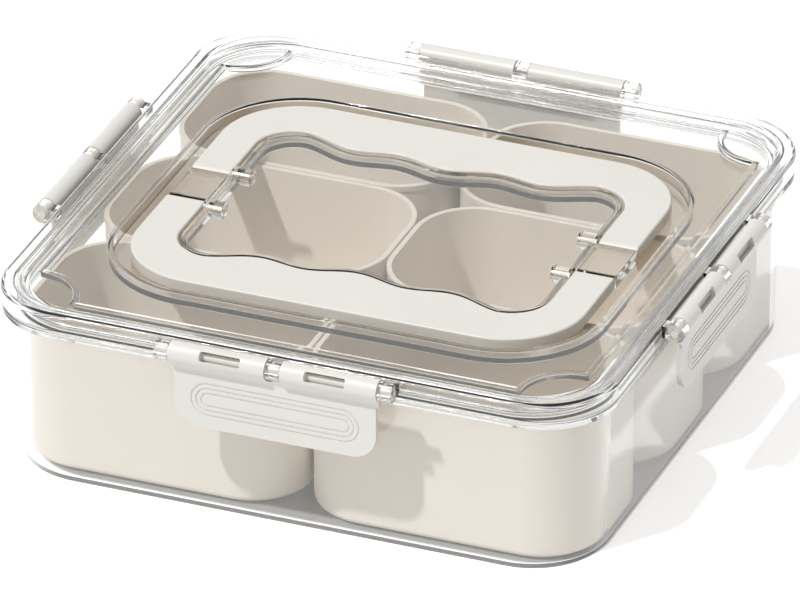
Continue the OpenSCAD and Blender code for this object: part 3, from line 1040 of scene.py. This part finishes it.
def latch_mesh(sizes):
    """Flap latch on the front side, with barrels, windows, grooves and hook."""
    half = sizes.knuckle_w / 2 + sizes.play + sizes.barrel_len
    latch = hinge_piece("latch_body", barrel_profile(sizes), 2 * half, sizes)
    flap = thick_outline("flap", upright_y(flap_profile(sizes, sizes.hinge_z - sizes.barrel / 2),
                                           -sizes.hinge_half - sizes.flap_front
                                           + sizes.flap_t / 2), sizes.flap_t)
    combine(latch, flap, "UNION")
    hook = thick_outline("hook", upright_x(hook_profile(sizes)), sizes.hook_len)
    combine(latch, hook, "UNION")
    notch_w = sizes.knuckle_w + 2 * sizes.play
    margin = 0.004
    deep = 2 * sizes.barrel + margin
    notch = block("notch", (notch_w, deep, deep),
                  (0, -sizes.hinge_half, sizes.hinge_z - sizes.knuckle - sizes.play + deep / 2))
    combine(latch, notch, "DIFFERENCE")
    combine(latch, window_cutters(sizes), "DIFFERENCE")
    combine(latch, groove_cutters(sizes), "DIFFERENCE")
    combine(latch, hinge_bore(sizes.latch_bore, 2 * half + PAST, sizes), "DIFFERENCE")
    weld(latch)
    round_edges(latch, sizes.edge_round / 2, steps=2, degrees=40)
    smooth(latch, 40)
    return latch


class CADDY_OT_latches(bpy.types.Operator):
    """Models one flap latch and turns copies of it to the four sides"""
    bl_idname = "caddy.latches"
    bl_label = "Latches"

    def execute(self, context):
        sizes = context.scene.caddy_sizes
        first = latch_mesh(sizes)
        for turn, side in enumerate(SIDES):
            name = "latch_" + side
            latch = copied(first, name + "_flap", Matrix.Rotation(math.pi / 2 * turn, 4, "Z"))
            dress(latch, "Latch plastic", name, [name])
        bpy.data.objects.remove(first)
        for name in PINS:
            paint(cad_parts[name], "Pin plastic")
        return {"FINISHED"}


# Handles

def handle_mesh(sizes):
    """Front handle, lying flat, with round arm ends and pin holes."""
    thick = sizes.handle_t
    end = -sizes.pivot_y + thick / 2
    handle = slab("handle_front_grip", handle_outline(sizes), sizes.handle_low,
                  sizes.handle_low + thick)
    edit(handle)
    pick(handle, "EDGE", lambda e: all(abs(v.co.y - end) < TINY for v in e.verts)
         and runs_across(e, 2))
    almost_half = 0.46
    round_picked(almost_half * thick, 10)
    settle(handle)
    round_edges(handle, sizes.handle_round, steps=4, degrees=50)
    holes = []
    for side in (-1, 1):
        place = (side * (sizes.handle_half - sizes.arm_w), -sizes.pivot_y,
                 sizes.handle_low + thick / 2)
        holes.append(bore(sizes.handle_bore, 2 * sizes.handle_bore_deep, place))
    combine(handle, gather(holes), "DIFFERENCE")
    weld(handle)
    smooth(handle)
    return handle


class CADDY_OT_handles(bpy.types.Operator):
    """Models one flip handle and turns a copy of it to the back"""
    bl_idname = "caddy.handles"
    bl_label = "Handles"

    def execute(self, context):
        sizes = context.scene.caddy_sizes
        front = handle_mesh(sizes)
        back = copied(front, "handle_back_grip", Matrix.Rotation(math.pi, 4, "Z"))
        for handle, name in ((front, "handle_front"), (back, "handle_back")):
            dress(handle, "Handle plastic", name, [name])
        return {"FINISHED"}


# Finishes

class CADDY_OT_finishes(bpy.types.Operator):
    """Makes the materials of the clear and off-white pieces"""
    bl_idname = "caddy.finishes"
    bl_label = "Finishes"

    def execute(self, context):
        colours = context.scene.caddy_colours
        # The brown film is painted shade: it dims and warms bounced light through the lid and
        # seal, so the cups' insides look darker and browner
        grey, bounce_shade = (0.97, 0.97, 0.97, 1), (0.84, 0.81, 0.76, 1)
        clear_plastic("Clear box plastic", list(colours.box), bounced=grey)
        clear_plastic("Clear lid plastic", list(colours.lid), bounced=bounce_shade, passes=1)
        clear_plastic("Soft clear seal", list(colours.lid), bounced=bounce_shade, rough=(0.08, 0.12))
        off_white("Cup plastic", list(colours.cup))
        off_white("Latch plastic", list(colours.latch))
        off_white("Handle plastic", list(colours.handle))
        off_white("Pin plastic", list(colours.latch), darker=0.95)
        return {"FINISHED"}


# Stage

# Angles are in degrees, the lamp's and the camera's from the front of the box
LAMP_AZIMUTH, LAMP_ELEVATION, LAMP_SPREAD = -37, 57, 2.5
LAMP_STRENGTH, ROOM_STRENGTH, FLOOR_GLOW = 2.0, 0.49, 0.5
CAMERA_AZIMUTH, CAMERA_ELEVATION = 21.578, 28.683
CAMERA_DISTANCE, CAMERA_TARGET = 5.1312, (0.0049, -0.01435, 0.045)
LENS, SENSOR, FARTHEST = 608, 36, 30


def direction(azimuth, elevation):
    """Way from the box to a place, by its angles."""
    azimuth, elevation = math.radians(azimuth), math.radians(elevation)
    return Vector((math.sin(azimuth) * math.cos(elevation),
                   -math.cos(azimuth) * math.cos(elevation), math.sin(elevation)))


def aimed(name, way):
    """Names the lamp or camera that was just added, and turns it back to the box."""
    thing = bpy.context.object
    thing.name = name
    thing.rotation_euler = way.to_track_quat("Z", "Y").to_euler()
    return thing


class CADDY_OT_stage(bpy.types.Operator):
    """Adds the floor, the lamp, the plain world and the camera"""
    bl_idname = "caddy.stage"
    bl_label = "Stage"

    def execute(self, context):
        scene = context.scene
        sizes, colours = scene.caddy_sizes, scene.caddy_colours
        ready()
        bpy.ops.mesh.primitive_plane_add(size=14, location=(0, 0, 0))
        floor = named("Floor")
        # Painted shade under the box, its square moved a wall's thickness to the back and right,
        # where the cups' shade reaches the walls
        floor_paint(list(colours.floor), list(colours.covered), FLOOR_GLOW,
                    sizes.box_half - sizes.box_lean * sizes.box_height - sizes.wall,
                    sizes.box_corner - sizes.wall, sizes.wall)
        paint(floor, "Floor paint")
        self.add_key()
        self.add_world(scene)
        self.add_camera(scene)
        scene.view_settings.view_transform = "Standard"
        return {"FINISHED"}

    def add_key(self):
        """One small high lamp in front on the left."""
        way = direction(LAMP_AZIMUTH, LAMP_ELEVATION)
        bpy.ops.object.light_add(type="SUN", location=2 * way)
        key = aimed("Key lamp", way)
        key.data.energy = LAMP_STRENGTH
        key.data.angle = math.radians(LAMP_SPREAD)

    def add_world(self, scene):
        """White to the eye, and a plain even light from all round."""
        world = bpy.data.worlds.new("Studio")
        scene.world = world
        world.use_nodes = True
        tree = world.node_tree
        tree.nodes.clear()
        out = node_at(tree, "ShaderNodeOutputWorld", 700, 0)
        mix = node_at(tree, "ShaderNodeMixShader", 500, 0)
        for row, strength in ((1, ROOM_STRENGTH), (2, 1.0)):
            light = node_at(tree, "ShaderNodeBackground", 200, -200 * row)
            light.inputs["Strength"].default_value = strength
            light.inputs["Color"].default_value = WHITE
            wire(tree, light, "Background", mix, row)
        tree.links.new(seen_rays(tree, 300), mix.inputs["Fac"])
        wire(tree, mix, "Shader", out, "Surface")

    def add_camera(self, scene):
        """Camera at the photograph's angle, from far away with a long lens."""
        way = direction(CAMERA_AZIMUTH, CAMERA_ELEVATION)
        bpy.ops.object.camera_add(location=Vector(CAMERA_TARGET) + CAMERA_DISTANCE * way)
        camera = aimed("Camera", way)
        camera.data.lens = LENS
        camera.data.sensor_width = SENSOR
        camera.data.clip_end = FARTHEST
        scene.camera = camera


class CADDY_PT_panel(bpy.types.Panel):
    """Lists the caddy's operators, sizes and colours"""
    bl_idname = "CADDY_PT_panel"
    bl_label = "Caddy"
    bl_space_type = "VIEW_3D"
    bl_region_type = "UI"
    bl_category = "Caddy"

    def draw(self, context):
        for operator in OPERATORS:
            self.layout.operator(operator.bl_idname)
        for group in (context.scene.caddy_sizes, context.scene.caddy_colours):
            for name in group.__annotations__:
                label = name.replace("_", " ").capitalize()
                self.layout.prop(group, name, text=label)


OPERATORS = (CADDY_OT_finishes, CADDY_OT_box, CADDY_OT_cups, CADDY_OT_lid,
             CADDY_OT_latches, CADDY_OT_handles, CADDY_OT_stage)
CLASSES = (CaddySizes, CaddyColours) + OPERATORS + (CADDY_PT_panel,)


def register():
    """Registers the classes and hangs the settings on the scene."""
    for kind in CLASSES:
        bpy.utils.register_class(kind)
    bpy.types.Scene.caddy_sizes = PointerProperty(type=CaddySizes)
    bpy.types.Scene.caddy_colours = PointerProperty(type=CaddyColours)


def unregister():
    """Takes the settings and the classes away again."""
    del bpy.types.Scene.caddy_colours
    del bpy.types.Scene.caddy_sizes
    for kind in reversed(CLASSES):
        bpy.utils.unregister_class(kind)


def main():
    """Builds the caddy and its stage."""
    register()
    bpy.ops.caddy.finishes()
    bpy.ops.caddy.box()
    bpy.ops.caddy.cups()
    bpy.ops.caddy.lid()
    bpy.ops.caddy.latches()
    bpy.ops.caddy.handles()
    bpy.ops.caddy.stage()


if __name__ == "__main__":
    main()
